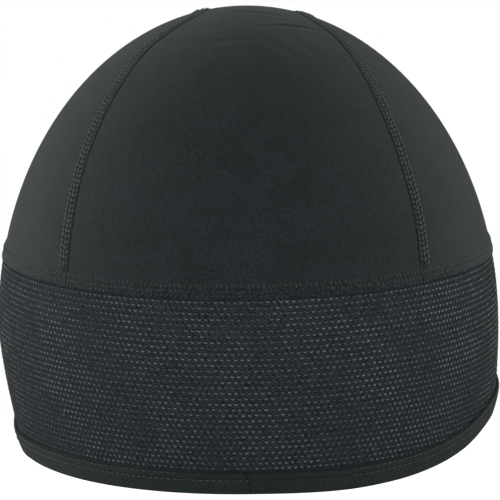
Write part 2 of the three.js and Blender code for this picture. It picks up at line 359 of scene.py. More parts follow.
def make_piece(name, points, face_groups, material, sharp=180):
    """One mesh object at the origin from points in millimetres and arrays of faces, one
    array for each number of corners. Edges bent more than sharp degrees stay crisp."""
    mesh = bpy.data.meshes.new(name)
    mesh.vertices.add(len(points))
    mesh.vertices.foreach_set("co", (points * MM).astype(np.float32).ravel())
    loops = np.concatenate([faces.ravel() for faces in face_groups])
    sizes = np.concatenate([np.full(len(faces), faces.shape[1]) for faces in face_groups])
    mesh.loops.add(len(loops))
    mesh.loops.foreach_set("vertex_index", loops.astype(np.int32))
    mesh.polygons.add(len(sizes))
    mesh.polygons.foreach_set("loop_start", (np.cumsum(sizes) - sizes).astype(np.int32))
    mesh.update(calc_edges=True)
    mesh.validate()
    mesh.shade_smooth()
    mesh.set_sharp_from_angle(angle=math.radians(sharp))
    mesh.materials.append(material)
    piece = bpy.data.objects.new(name, mesh)
    bpy.context.collection.objects.link(piece)
    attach(piece, "root")
    triangles = int((sizes - 2).sum())
    print(f"{name}: {triangles} triangles")
    return piece


def set_value(piece, name, values):
    """A number for each point, which the piece's material reads by its name."""
    attribute = piece.data.attributes.new(name, "FLOAT", "POINT")
    attribute.data.foreach_set("value", np.asarray(values, np.float32).ravel())


def set_uv(piece, u, v):
    """A UV map in millimetres, from two grids that hold for the outside and the inside."""
    uv = np.tile(np.stack([u.ravel(), v.ravel()], axis=-1), (2, 1))
    corner = np.empty(len(piece.data.loops), np.int32)
    piece.data.loops.foreach_get("vertex_index", corner)
    layer = piece.data.uv_layers.new(name="cloth")
    layer.uv.foreach_set("vector", uv[corner].astype(np.float32).ravel())


def smooth_step(low, high, x):
    t = np.clip((x - low) / (high - low), 0, 1)
    return t * t * (3 - 2 * t)


def bell(x):
    return np.exp(-(x**2))


def wave(phase):
    """0 to 1 and back for each whole number of the phase, 1 at the whole number itself."""
    return 0.5 + 0.5 * np.cos(2 * math.pi * phase)


def soft_patches(length, waves=9):
    """A function of points that gives soft patches from 0 to 1. It adds up waves of about
    one length in random directions."""
    number = 2 * math.pi / (length * random.uniform(0.6, 1.6, waves))
    direction = unit(random.normal(size=(waves, 3))) * number[:, None]
    phase = random.uniform(0, 2 * math.pi, waves)

    def patch(points):
        total = np.cos(points @ direction.T + phase).sum(axis=-1)
        return 0.5 + 0.5 * np.tanh(1.2 * total / math.sqrt(waves / 2))

    return patch


# %% [markdown]
# ## Finishes
# The whole cap is black and grey cloth, so the finishes differ by their thread. The brushed
# warp knit is matt with a soft bloom at its edges. The eyelet mesh is smooth and bluish,
# the binding is a plain rib, and the sewing thread is polyester, a little glossier.
#
# One function adds a node. An input that is given another node's output is linked to it,
# and any other value is set on the input itself. One more function turns a hex colour into
# the linear values of a shader.

# %% Helpers for materials
def from_hex(code):
    """sRGB hex to linear: each channel by the sRGB curve, and 1 for alpha."""
    channels = [int(code[k : k + 2], 16) / 255 for k in (1, 3, 5)]
    linear = [c / 12.92 if c <= 0.04045 else ((c + 0.055) / 1.055) ** 2.4 for c in channels]
    return (*linear, 1.0)


def set_inputs(node, inputs):
    for key, value in inputs.items():
        if isinstance(value, bpy.types.NodeSocket):
            node.id_data.links.new(value, node.inputs[key])
        else:
            node.inputs[key].default_value = value


def add_node(tree, kind, inputs, **settings):
    """The settings come first, because they decide which inputs the node has."""
    node = tree.nodes.new(kind)
    for key, value in settings.items():
        setattr(node, key, value)
    set_inputs(node, inputs)
    return node


def new_material(name):
    material = bpy.data.materials.new(name)
    material.use_nodes = True
    tree = material.node_tree
    tree.nodes.clear()
    shader = add_node(tree, "ShaderNodeBsdfPrincipled", {})
    add_node(tree, "ShaderNodeOutputMaterial", {"Surface": shader.outputs["BSDF"]})
    return material, tree, shader


# %% [markdown]
# ### Brushed warp knit
# Nylon and elastane, knitted on a warp machine and brushed on the face. Its columns of
# loops are about 0.6 mm apart and hardly show. The brushed fibres give it a matt face that
# turns paler where the surface runs away from the eye, which is what sheen is for.
#
# Its hairs are far finer than a pixel, so they are drawn as specks about 0.8 mm wide over
# mottles of about 11 mm. The scale of a noise is the number of its grains in a metre.

# %% Crown knit
WALE_PITCH = 0.6
WAVE_PERIOD = 2 * math.pi / 20
MOTTLES_PER_MM = 0.09
SPECKS_PER_MM = 1.2
FUZZ_PER_MM = 1.6
SPECK_WEIGHT = 4.0
BRUSHED = {
    "Roughness": 0.85,
    "Specular IOR Level": 0.2,
    "Sheen Roughness": 0.45,
    "Sheen Tint": from_hex("#dfe6e6"),
}


def with_painted_shade(tree, tone):
    """A cloth's tone with painted shade: it goes to near black where the point's number for shade in
    pits, slits, grooves and gaps is 1.
    """
    painted_shade = add_node(tree, "ShaderNodeAttribute", {}, attribute_name="painted_shade").outputs["Fac"]
    inputs = {"Factor": painted_shade, "A": tone, "B": from_hex("#090f10")}
    return add_node(tree, "ShaderNodeMix", inputs, data_type="RGBA").outputs[2]


def knit(name, dark, light, sheen, wale_bump, fuzz_bump):
    """Cloth of fine columns on the UV map in millimetres, with soft mottling and fuzz."""
    material, tree, shader = new_material(name)
    place = add_node(tree, "ShaderNodeTexCoord", {}).outputs["Object"]
    cloth = add_node(tree, "ShaderNodeUVMap", {}, uv_map="cloth").outputs["UV"]

    inputs = {"Vector": place, "Scale": MOTTLES_PER_MM / MM, "Detail": 3.0, "Roughness": 0.6}
    mottle = add_node(tree, "ShaderNodeTexNoise", inputs).outputs["Fac"]
    inputs = {"Vector": place, "Scale": SPECKS_PER_MM / MM, "Detail": 3.0, "Roughness": 0.75}
    specks = add_node(tree, "ShaderNodeTexNoise", inputs).outputs["Fac"]
    inputs = {0: specks, 1: SPECK_WEIGHT, 2: mottle}
    both = add_node(tree, "ShaderNodeMath", inputs, operation="MULTIPLY_ADD").outputs["Value"]
    inputs = {"Value": both, "From Min": 1.9, "From Max": 3.1}
    share = add_node(tree, "ShaderNodeMapRange", inputs).outputs["Result"]
    inputs = {"Factor": share, "A": from_hex(dark), "B": from_hex(light)}
    tone = add_node(tree, "ShaderNodeMix", inputs, data_type="RGBA").outputs[2]

    inputs = {"Vector": place, "Scale": FUZZ_PER_MM / MM, "Detail": 4.0, "Roughness": 0.8}
    fuzz = add_node(tree, "ShaderNodeTexNoise", inputs).outputs["Fac"]
    inputs = {"Height": fuzz, "Strength": fuzz_bump, "Distance": 0.3 * MM}
    rough = add_node(tree, "ShaderNodeBump", inputs).outputs["Normal"]
    inputs = {"Vector": cloth, "Scale": WAVE_PERIOD / WALE_PITCH}
    inputs |= {"Distortion": 0.6, "Detail": 2.0, "Detail Scale": 2.0}
    wales = add_node(tree, "ShaderNodeTexWave", inputs, bands_direction="X").outputs["Fac"]
    inputs = {"Height": wales, "Normal": rough, "Strength": wale_bump, "Distance": 0.1 * MM}
    relief = add_node(tree, "ShaderNodeBump", inputs).outputs["Normal"]

    set_inputs(shader, BRUSHED | {"Sheen Weight": sheen})
    set_inputs(shader, {"Base Color": with_painted_shade(tree, tone), "Normal": relief})
    return material


crown_knit = knit("brushed nylon warp knit", "#151d1d", "#252e2f", 0.14, 0.12, 0.8)
binding_knit = knit("nylon rib binding", "#1c2424", "#293131", 0.05, 0.5, 0.5)
print("knits:", crown_knit.name, "and", binding_knit.name)

# %% [markdown]
# ### Eyelet mesh
# Smooth polyester filament, knitted with a hole where a needle drops its loop. The loop
# under each hole stands up and catches the light as a small pale U, which is a painted
# highlight: the mesh piece has a number for each point that is 1 on that loop, and the
# material paints the loop pale by it.

# %% Mesh knit
# The filaments are too fine to show, so the grain is drawn about half a millimetre wide
MESH_GRAINS_PER_MM = 2.2


def speckled(tree, per_mm, detail, dark, light):
    """Grain of a cloth: noise of so many grains to the millimetre, whose middle values go
    from the dark tone to the light one. Gives the tone, and the noise as a height."""
    place = add_node(tree, "ShaderNodeTexCoord", {}).outputs["Object"]
    inputs = {"Vector": place, "Scale": per_mm / MM, "Detail": detail, "Roughness": 0.7}
    grain = add_node(tree, "ShaderNodeTexNoise", inputs).outputs["Fac"]
    inputs = {"Value": grain, "From Min": 0.4, "From Max": 0.6}
    share = add_node(tree, "ShaderNodeMapRange", inputs).outputs["Result"]
    inputs = {"Factor": share, "A": from_hex(dark), "B": from_hex(light)}
    return add_node(tree, "ShaderNodeMix", inputs, data_type="RGBA").outputs[2], grain


def mesh_material():
    material, tree, shader = new_material("polyester eyelet mesh")
    ground, grain = speckled(tree, MESH_GRAINS_PER_MM, 2.0, "#101416", "#31383b")
    loop_highlight = add_node(tree, "ShaderNodeAttribute", {}, attribute_name="loop_highlight").outputs["Fac"]
    # The pale U on each loop is a painted highlight
    inputs = {"Factor": loop_highlight, "A": ground, "B": from_hex("#a2a9ab")}
    tone = add_node(tree, "ShaderNodeMix", inputs, data_type="RGBA").outputs[2]
    inputs = {"Height": grain, "Strength": 0.5, "Distance": 0.1 * MM}
    relief = add_node(tree, "ShaderNodeBump", inputs).outputs["Normal"]
    set_inputs(shader, {"Base Color": tone, "Normal": relief})
    set_inputs(shader, {"Roughness": 0.85, "Specular IOR Level": 0.15})
    return material


mesh_knit = mesh_material()
print("mesh:", mesh_knit.name)

# %% [markdown]
# ### Seam cloth and thread
# On the band's seam the upper edge belongs to the crown and the rest to the mesh, so it has
# two cloths that meet along one line: brushed nylon with the crown's sheen, and smooth
# polyester without it. The thread is spun polyester, matt, a little paler than its cloth.

# %% Seam cloth and sewing thread
# The cut edges' fibres are drawn 0.7 mm wide, and the thread has a twist each 0.25 mm
SEAM_GRAINS_PER_MM = 1.5
TWISTS_PER_MM = 4.0


def seam_material(name, code, sheen):
    material, tree, shader = new_material(name)
    tone, grain = speckled(tree, SEAM_GRAINS_PER_MM, 3.0, "#121818", code)
    inputs = {"Height": grain, "Strength": 0.6, "Distance": 0.2 * MM}
    relief = add_node(tree, "ShaderNodeBump", inputs).outputs["Normal"]
    set_inputs(shader, BRUSHED | {"Sheen Weight": sheen})
    set_inputs(shader, {"Base Color": with_painted_shade(tree, tone), "Normal": relief})
    return material


def thread_material(name, code):
    material, tree, shader = new_material(name)
    place = add_node(tree, "ShaderNodeTexCoord", {}).outputs["Object"]
    inputs = {"Vector": place, "Scale": TWISTS_PER_MM / MM, "Detail": 1.0}
    twist = add_node(tree, "ShaderNodeTexNoise", inputs).outputs["Fac"]
    inputs = {"Height": twist, "Strength": 0.4, "Distance": 0.1 * MM}
    relief = add_node(tree, "ShaderNodeBump", inputs).outputs["Normal"]
    set_inputs(shader, {"Base Color": from_hex(code), "Normal": relief})
    set_inputs(shader, {"Roughness": 0.6, "Specular IOR Level": 0.4, "Sheen Weight": 0.1})
    return material


seam_cloth = seam_material("nylon flatlock edge", "#273333", 0.14)
mesh_edge = seam_material("polyester mesh flatlock edge", "#273035", 0.0)
crown_thread = thread_material("spun polyester thread", "#434d4d")
band_thread = thread_material("grey polyester thread", "#374142")
dark_thread = thread_material("dark polyester thread", "#272f31")
print("seams:", seam_cloth.name, "and", crown_thread.name)

# %% [markdown]
# ## The crown's three panels
# Each panel is a grid between two edges. The middle one runs from the back over the top to
# the front. A side panel runs from the seam down to the band. They reach a little way under
# the seams that cover them, as real seam allowances do.
#
# Near the top the cloth is drawn into a few shallow wrinkles. Each is a valley with a
# rounded section and fading ends, and a short table says where it lies.

# %% Crown panels
UNDERLAP = 1.0
PANEL_EDGE = SEAM_LEVEL + BAND_SEAM_WIDTH / 2 - UNDERLAP
CENTRE_GRID = (160, 56)
SIDE_GRID = (130, 36)
# The middle panel's rows crowd where the wrinkles are: share of the rows, share of the length
ROW_SHARES = [0.0, 0.18, 0.68, 1.0]
LENGTH_SHARES = [0.0, 0.27, 0.49, 1.0]
# Beside a seam's step the middle panel dips, and most of the dip is over after STEP_REACH
STEP_DIP = 0.12
STEP_REACH = 0.4
# Places and lengths in mm, seen from above, and turns in degrees
WRINKLES = table(
    "x y half_length turn half_width depth",
    [
        (14.0, -22.5, 7.5, 24.0, 0.9, 0.3),
        (3.0, -12.0, 8.0, -10.0, 1.0, 0.22),
        (-4.0, -36.0, 5.0, 0.0, 1.3, 0.1),
        (14.0, -33.0, 5.0, 88.0, 1.3, 0.08),
        (12.0, -40.0, 3.0, -45.0, 1.5, 0.1),
        (19.0, -35.0, 6.0, -40.0, 1.6, 0.1),
    ],
)
# The low ridges beside a valley: how far off in half widths, and their share of its depth
RIDGES = ((2.2, 0.5), (-2.2, 0.3))
WRINKLES_END = -40.0


def wrinkle_relief(points):
    """Sum of valleys seen from above, down to a level: depth times a bell along and a bell
    across each, less the ridges' bells."""
    relief = np.zeros(points.shape[:-1])
    for w in WRINKLES:
        turn = math.radians(w["turn"])
        dx, dy = points[..., 0] - w["x"], points[..., 1] - w["y"]
        along = dx * math.cos(turn) + dy * math.sin(turn)
        across = dy * math.cos(turn) - dx * math.sin(turn)
        share = across / w["half_width"]
        valley = bell(share) - sum(part * bell(share - off) for off, part in RIDGES)
        relief -= w["depth"] * valley * bell(along / w["half_length"])
    return relief * (points[..., 2] > WRINKLES_END)


def centre_line(share, tilt):
    """Point of the middle panel: on the great circle between its two edges at a tilt."""
    inset = -CROWN_SEAM_WIDTH / 2 + UNDERLAP
    left = direction_of(beside_seam(-1, tilt, inset))
    right = direction_of(beside_seam(1, tilt, inset))
    return point_of(unit(left + (right - left) * share[..., None]))


def centre_panel():
    rows, columns = CENTRE_GRID
    share = np.linspace(0, 1, columns)
    low, high = tilts_at(lambda tilt: centre_line(share, tilt), PANEL_EDGE, columns)
    along = np.interp(np.linspace(0, 1, rows), ROW_SHARES, LENGTH_SHARES)[:, None]
    tilt = low + (high - low) * along
    wall = centre_line(np.broadcast_to(share, tilt.shape), tilt)
    breadth = np.linalg.norm(np.diff(wall, axis=1), axis=-1).sum(axis=1)[:, None]
    from_step = np.minimum(share, 1 - share) * breadth - UNDERLAP
    relief = wrinkle_relief(wall)
    dip = STEP_DIP * np.exp(-np.clip(from_step, 0, None) / STEP_REACH)
    direction = direction_of(wall)
    across = HALF_WIDTH * np.arcsin(direction[..., 0])
    over = CROWN_RISE * np.arctan2(direction[..., 1], direction[..., 2])
    return raised(wall, relief - dip), raised(wall, relief - CROWN_WALL), across, over


def side_panel(side):
    """Rows between the seam and the band, on great circles, that close up at both ends."""
    rows, columns = SIDE_GRID
    distance = CROWN_SEAM_WIDTH / 2 - UNDERLAP
    edge_line = lambda tilt: beside_seam(side, tilt, distance)
    (low,), (high,) = tilts_at(edge_line, PANEL_EDGE)
    seam_edge = edge_line(np.linspace(low, high, rows))
    depth = np.where(seam_edge[[0, -1], 1] > 0, FRONT_DEPTH, BACK_DEPTH)
    ends = np.arctan2(seam_edge[[0, -1], 0] / HALF_WIDTH, -seam_edge[[0, -1], 1] / depth)
    band_edge = wall_point(np.linspace(*ends, rows), PANEL_EDGE)
    share = np.linspace(0, 1, columns)[:, None]
    from_seam = direction_of(seam_edge)[:, None]
    from_band = direction_of(band_edge)[:, None]
    wall = point_of(unit(from_seam + (from_band - from_seam) * share))
    wall[:, 0], wall[:, -1] = seam_edge, band_edge
    direction = direction_of(wall)
    forward = BACK_DEPTH * np.arcsin(direction[..., 1])
    down = CROWN_RISE * np.arctan2(np.abs(direction[..., 0]), direction[..., 2])
    level = np.zeros(wall.shape[:2])
    return raised(wall, level), raised(wall, level - CROWN_WALL), forward, down


def panel_piece(name, grids, material):
    outer, inner, u, v = grids
    points, faces = shell(outer, inner)
    piece = make_piece(name, points, [faces], material, sharp=50)
    set_uv(piece, u, v)
    body = bmesh.new()
    body.from_mesh(piece.data)
    bmesh.ops.remove_doubles(body, verts=body.verts, dist=1e-6)
    body.to_mesh(piece.data)
    body.free()
    return piece


crown_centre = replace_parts(panel_piece("centre_panel", centre_panel(), crown_knit), "crown_centre")
crown_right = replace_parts(panel_piece("right_panel", side_panel(1), crown_knit), "crown_right")
crown_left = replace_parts(panel_piece("left_panel", side_panel(-1), crown_knit), "crown_left")

# %% [markdown]
# ## Stitches
# A stitch that lies on the cloth is a short bow of thread: it comes up through one needle
# hole, lies over the cloth and goes down the next. One small closed grain with pointed ends
# is enough for it, and one call makes a whole row from arrays of its two ends.

# %% Grains of thread
THREAD_SIDES = 6
THREAD_RADIUS = 0.19
GRAIN_STATIONS = np.array([0.0, 0.16, 0.5, 0.84, 1.0])
GRAIN_FULLNESS = np.array([0.0, 0.75, 1.0, 0.75, 0.0])


def section(ahead, up, sides, first_turn):
    """Directions from a thread's middle to its corners: the turn's cosine sideways and its
    sine upward, both square to the way ahead. Gives the upward direction too."""
    sideways = unit(np.cross(ahead, up))
    upward = np.cross(sideways, ahead)
    turn = first_turn + 2 * math.pi * np.arange(sides) / sides
    ring = np.cos(turn)[:, None] * sideways[:, None] + np.sin(turn)[:, None] * upward[:, None]
    return ring, upward


def grains(starts, ends, up, radius, lift):
    """Each grain is three rings of six points between two pointed ends. Its middle line
    goes straight from start to end and rises by lift along a sine arch."""
    count = len(starts)
    ring, upward = section(unit(ends - starts), up, THREAD_SIDES, 0)
    station = GRAIN_STATIONS[None, :, None]
    arch = lift * np.sin(math.pi * station) * upward[:, None]
    middle = starts[:, None] + (ends - starts)[:, None] * station + arch
    size = radius[:, None, None, None] * GRAIN_FULLNESS[1:-1][None, :, None, None]
    rings = middle[:, 1:-1, None] + size * ring[:, None]
    body = [middle[:, :1], rings.reshape(count, -1, 3), middle[:, -1:]]
    points = np.concatenate(body, axis=1)
    k = np.arange(THREAD_SIDES)
    following = np.roll(k, -1)
    first = np.stack([0 * k, 1 + following, 1 + k], axis=-1)
    last_ring = 1 + 2 * THREAD_SIDES
    last = np.stack([0 * k + last_ring + THREAD_SIDES, last_ring + k, last_ring + following], axis=-1)
    sides = [
        np.stack([a + k, a + following, a + THREAD_SIDES + following, a + THREAD_SIDES + k], axis=-1)
        for a in (1, 1 + THREAD_SIDES)
    ]
    offset = np.arange(count)[:, None, None] * points.shape[1]
    tips = (np.concatenate([first, last])[None] + offset).reshape(-1, 3)
    walls = (np.concatenate(sides)[None] + offset).reshape(-1, 4)
    return points.reshape(-1, 3), [tips, walls]


def looper(name, line, depth, wrap):
    """The looper thread behind a seam: a tube with four sides along a zigzag line on the
    wall, at a depth under it. An open line gets closed ends."""
    up = wall_normal(line)
    middle = raised(line, np.full(len(line), -depth))
    ahead = np.roll(middle, -1, axis=0) - np.roll(middle, 1, axis=0)
    if not wrap:
        ahead[0], ahead[-1] = middle[1] - middle[0], middle[-1] - middle[-2]
    ring, _ = section(unit(ahead), up, 4, math.pi / 4)
    points = (middle[:, None] + THREAD_RADIUS * ring).reshape(-1, 3)
    index = np.arange(len(points)).reshape(-1, 4)
    faces = quads_of(np.concatenate([index, index[:, :1]], axis=1), wrap)
    if not wrap:
        faces = np.concatenate([faces, index[:1, ::-1], index[-1:]])
    return make_piece(name, points, [outward(points, faces)], crown_thread)


def stitches(name, rows, material):
    """One mesh of all the rows of grains: their points, and their faces moved on by the
    number of points before them."""
    points = np.concatenate([row_points for row_points, _ in rows])
    before = np.cumsum([0] + [len(row_points) for row_points, _ in rows])
    both = zip(*(groups for _, groups in rows))
    groups = [np.concatenate([f + n for f, n in zip(faces, before)]) for faces in both]
    return make_piece(name, points, groups, material)


# %% [markdown]
# ## The crown's flatlock seams
# The side panel laps over the middle one. Its edge makes a crisp step, and three rows of
# thread hold it down, 1.6 mm to a stitch. The stitches lean outward, and the needle pulls a
# slit into the cloth between each two, so the seam looks braided. The ribbon's height
# follows all this, and a number for each point paints shade into the slits, the grooves they
# lie in and the foot of the step. Inside, a looper thread runs to and fro across the seam.

# %% The crown seams' relief
STITCH = 1.6
SAMPLES_PER_STITCH = 5
SEAM_TUCK = 1.4
SEAM_END = SEAM_LEVEL + BAND_SEAM_WIDTH / 2 - SEAM_TUCK
SEAM_ACROSS = 27
SEAM_POINTS = 3000
# Rows of slits, the first at the step's edge: share across, shift along in stitches, half
# length, half width, how dark the slit's painted shade is, and how dark the painted shade is
# of the groove that they lie in
SLITS = table(
    "share shift length width dark groove",
    [
        (-1.0, 0.3, 0.25, 0.09, 0.4, 0.5),
        (-0.66, 0.93, 0.15, 0.22, 0.8, 0.0),
        (-0.42, 0.0, 0.28, 0.17, 1.0, 0.25),
        (0.19, 0.45, 0.3, 0.15, 1.0, 0.35),
        (0.8, 0.0, 0.24, 0.13, 0.9, 0.25),
    ],
)
SLIT_LEAN = 0.3
# The cloth's share of the ribbon's rise, the thread being the rest, and depths and heights in mm
CLOTH_RISE = 0.72
SLIT_DEPTH = 0.24
PUFF = 0.14
EDGE_PUFF = 0.08
OUTER_SINK = 0.25


def seam_marks(across, phase):
    """0 to 1: the step and four rows of slits that lean outward along the seam. Each slit is
    a bell along times a bell across, in a shallow groove. It gives their depth and their
    painted shade."""
    marks = 0.0
    for row in SLITS:
        along = np.mod(phase - row["shift"] + 0.5, 1) - 0.5
        off = across - row["share"]
        slit = bell(along / row["length"]) * bell((off - SLIT_LEAN * along) / row["width"])
        marks = marks + row["dark"] * slit + row["groove"] * bell(off / row["width"])
    return np.clip(marks, 0, 1)


def crown_seam_height(across, phase):
    """Height over the wall for a share across, -1 at the step, and a stitch's phase: up the
    step, level, and down into the side panel, which is one cloth with it. The thread pushes
    up two rows of puffs, and the slits cut in."""
    step = 0.45 + 0.55 * smooth_step(-1, -0.6, across)
    height = CLOTH_RISE * SEAM_PROUD * step * (1 - smooth_step(0.45, 0.9, across))
    puff = PUFF * (1 - wave(phase)) * bell((across + 0.12) / 0.25)
    puff = puff + EDGE_PUFF * wave(phase) * bell((across + 0.72) / 0.16)
    marks = SLIT_DEPTH * seam_marks(across, phase) * smooth_step(-1, -0.8, across)
    return height + puff - marks - OUTER_SINK * smooth_step(0.84, 1, across)


# %% The crown seams' ribbons, stitches and loopers
# Rows of stitches: shares across and places along of both ends, half thickness and level
STITCH_ROWS = table(
    "start start_at end end_at radius level",
    [
        (-0.72, 0.05, -0.58, 0.8, 0.27, 0.06),
        (-0.28, 0.05, -0.04, 0.85, 0.38, 0.1),
        (0.36, -0.42, 0.58, 0.4, 0.34, 0.12),
    ],
)
STITCH_ARCH = 0.2
LOOPER_SWING = 0.6
LOOPER_DEPTH = CROWN_WALL + SEAM_INSIDE + 0.05
# The number of stitches left out at each end, where the seam goes under the band's
SKIP = 2


def seam_tilts(side):
    """Tilts along a crown seam at equal steps of length, a whole number of stitches."""
    line = lambda tilt: seam_middle(side, tilt)
    (low,), (high,) = tilts_at(line, SEAM_END)
    fine = np.linspace(low, high, SEAM_POINTS)
    run = np.append(0, np.cumsum(np.linalg.norm(np.diff(line(fine), axis=0), axis=-1)))
    count = round(run[-1] / STITCH)
    steps = np.linspace(0, run[-1], count * SAMPLES_PER_STITCH + 1)
    return np.interp(steps, run, fine), count


def crown_seam_pieces(side, word):
    tilt, count = seam_tilts(side)
    across = np.linspace(-1, 1, SEAM_ACROSS)
    half = CROWN_SEAM_WIDTH / 2
    wall = beside_seam(side, tilt[:, None], across * half)
    phase = np.arange(len(tilt))[:, None] / SAMPLES_PER_STITCH
    settle = smooth_step(0, 2 * SEAM_TUCK, wall[..., 2] - SEAM_END)
    height = crown_seam_height(across, phase) * settle - 0.2 * (1 - settle)
    depth = CROWN_WALL + SEAM_INSIDE * bell((np.abs(across) - 0.3) / 0.75) * settle
    points, faces = shell(raised(wall, height), raised(wall, -depth))
    ribbon = make_piece(f"crown_seam_{word}_cloth", points, [faces], seam_cloth, sharp=50)
    # Painted shade in the slits, their grooves and at the foot of the step
    set_value(ribbon, "painted_shade", np.tile(seam_marks(across, phase).ravel(), 2))
    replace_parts(ribbon, f"crown_seam_{word}")

    def stitch_tilt(number):
        return np.interp(number * SAMPLES_PER_STITCH, np.arange(len(tilt)), tilt)

    number = np.arange(SKIP, count - SKIP)
    rows = []
    for row in STITCH_ROWS:
        place = number + random.normal(0, 0.05, len(number))
        slip = random.normal(0, 0.03, len(number))
        start = beside_seam(side, stitch_tilt(place + row["start_at"]), (row["start"] + slip) * half)
        end = beside_seam(side, stitch_tilt(place + row["end_at"]), (row["end"] + slip) * half)
        up = wall_normal((start + end) / 2)
        lie = row["level"] + random.normal(0, 0.04, len(number))
        thick = row["radius"] * random.uniform(0.75, 1.15, len(number))
        rows.append(grains(raised(start, lie), raised(end, lie), up, thick, STITCH_ARCH))
    top = stitches(f"crown_seam_{word}_stitches", rows, crown_thread)

    turns = np.arange(2 * SKIP, 2 * (count - SKIP) + 1)
    swing = LOOPER_SWING * half * np.where(turns % 2 == 0, -1, 1)
    line = beside_seam(side, stitch_tilt(turns / 2), swing)
    inside = looper(f"crown_seam_{word}_looper", line, LOOPER_DEPTH, wrap=False)
    print(f"  {count} stitches of {STITCH} mm")
    return ribbon, top, inside


right_seam = crown_seam_pieces(1, "right")
left_seam = crown_seam_pieces(-1, "left")

# %% [markdown]
# ## The band's flatlock seam
# Crown and mesh meet edge to edge under it. Its upper edge is the crown's cloth, with an
# upright stitch every 1.6 mm and a pit between each two. At the middle of the back the rest
# is the mesh's edge, darker, with slanting stitches that hardly show. To both sides the
# crown's cloth takes up more and more of the width, and its cut edge rolls up a little. The
# whole ring is one profile carried round. Where a crown seam ends under it, its step shows.

# %% The band seam's relief
BAND_STITCHES = round(AROUND / STITCH)
BAND_ACROSS = 19
# Millimetres from the middle of the back, and the share across where the crown's cloth ends
TONE_LINE = table("away share", [(10, 0.38), (41, -0.52)])
# The rolled edge and the shade under it grow between these millimetres from the middle
ROLL_HEIGHT = 0.14
ROLL_REACH = (45, 70)
SHADE = 0.3
SHADE_REACH = (40, 65)
# The step of a crown seam that shows through, in mm, and how dark its painted shade is
STEP_DEPTH = 0.12
STEP_WIDTH = 0.7
STEP_SHADE = 0.85
# Rows of pits by share across: shift along in stitches, and how dark their painted shade is
PIT_ROWS = table("share shift dark", [(0.3, 0.5, 0.8), (-0.22, 0.1, 0.7), (-0.7, 0.65, 0.7)])
PIT_DEPTH = 0.2


def from_middle(angle):
    """Millimetres to the side from the middle of the back, and as at the widest in front."""
    return np.where(np.cos(angle) > 0, np.abs(HALF_WIDTH * np.sin(angle)), HALF_WIDTH)


def tone_line(angle):
    """Share across where the crown's cloth ends: high at the middle of the back, falling by
    a straight line to both sides, and level and low from there round the front."""
    return np.interp(from_middle(angle), TONE_LINE["away"], TONE_LINE["share"])


def rolled_edge(across, angle):
    """Height of the crown's cut edge: a bell just above the tone line that grows sideways."""
    roll = bell((across - tone_line(angle) - 0.13) / 0.16)
    return ROLL_HEIGHT * roll * smooth_step(*ROLL_REACH, from_middle(angle))


def band_marks(across, phase):
    """0 to 1: three rows of pits between the stitches, and the seam's lower edge. It gives their
    depth and their painted shade.
    """
    marks = 0.5 * bell((across + 1) / 0.1)
    for row in PIT_ROWS:
        off = across - row["share"]
        marks = marks + row["dark"] * wave(phase - row["shift"] - 0.3 * off) ** 1.4 * bell(off / 0.14)
    return np.clip(marks, 0, 1)


def band_seam_height(across, phase):
    """Height for a share across, 1 at the crown, and a stitch's phase round the band: a flat
    ribbon with rounded edges, ripples at the crown's side, and pits."""
    flat = SEAM_PROUD * (1 - np.abs(across) ** 5) + 0.03
    ripple = 0.06 * np.cos(2 * math.pi * phase) * smooth_step(TONE_LINE["share"][0], 0.9, across)
    return flat - ripple - PIT_DEPTH * band_marks(across, phase)


def crossing_steps(wall):
    """0 to 1: the step of each crown seam, a bell of the distance along the ring from the
    seam's inner edge."""
    steps = np.zeros(wall.shape[:-1])
    for side in (-1, 1):
        edge_line = lambda tilt: beside_seam(side, tilt, -CROWN_SEAM_WIDTH / 2)
        for tilt in tilts_at(edge_line, SEAM_LEVEL):
            away = (wall - edge_line(tilt))[..., :2]
            steps += bell(np.linalg.norm(away, axis=-1) / STEP_WIDTH)
    return steps


# %% The band seam's ribbon, stitches and looper
# Rows of stitches: share across and shift along of the upper and lower end, half thickness
BAND_ROWS = table(
    "upper upper_shift lower lower_shift radius",
    [(0.94, 0.0, 0.36, 0.0, 0.13), (0.24, 0.5, -0.16, 0.1, 0.17), (-0.28, 0.6, -0.72, 0.2, 0.17)],
)
BAND_LOOPER_SWING = 0.7
BAND_LOOPER_DEPTH = CROWN_WALL + SEAM_INSIDE + 0.1


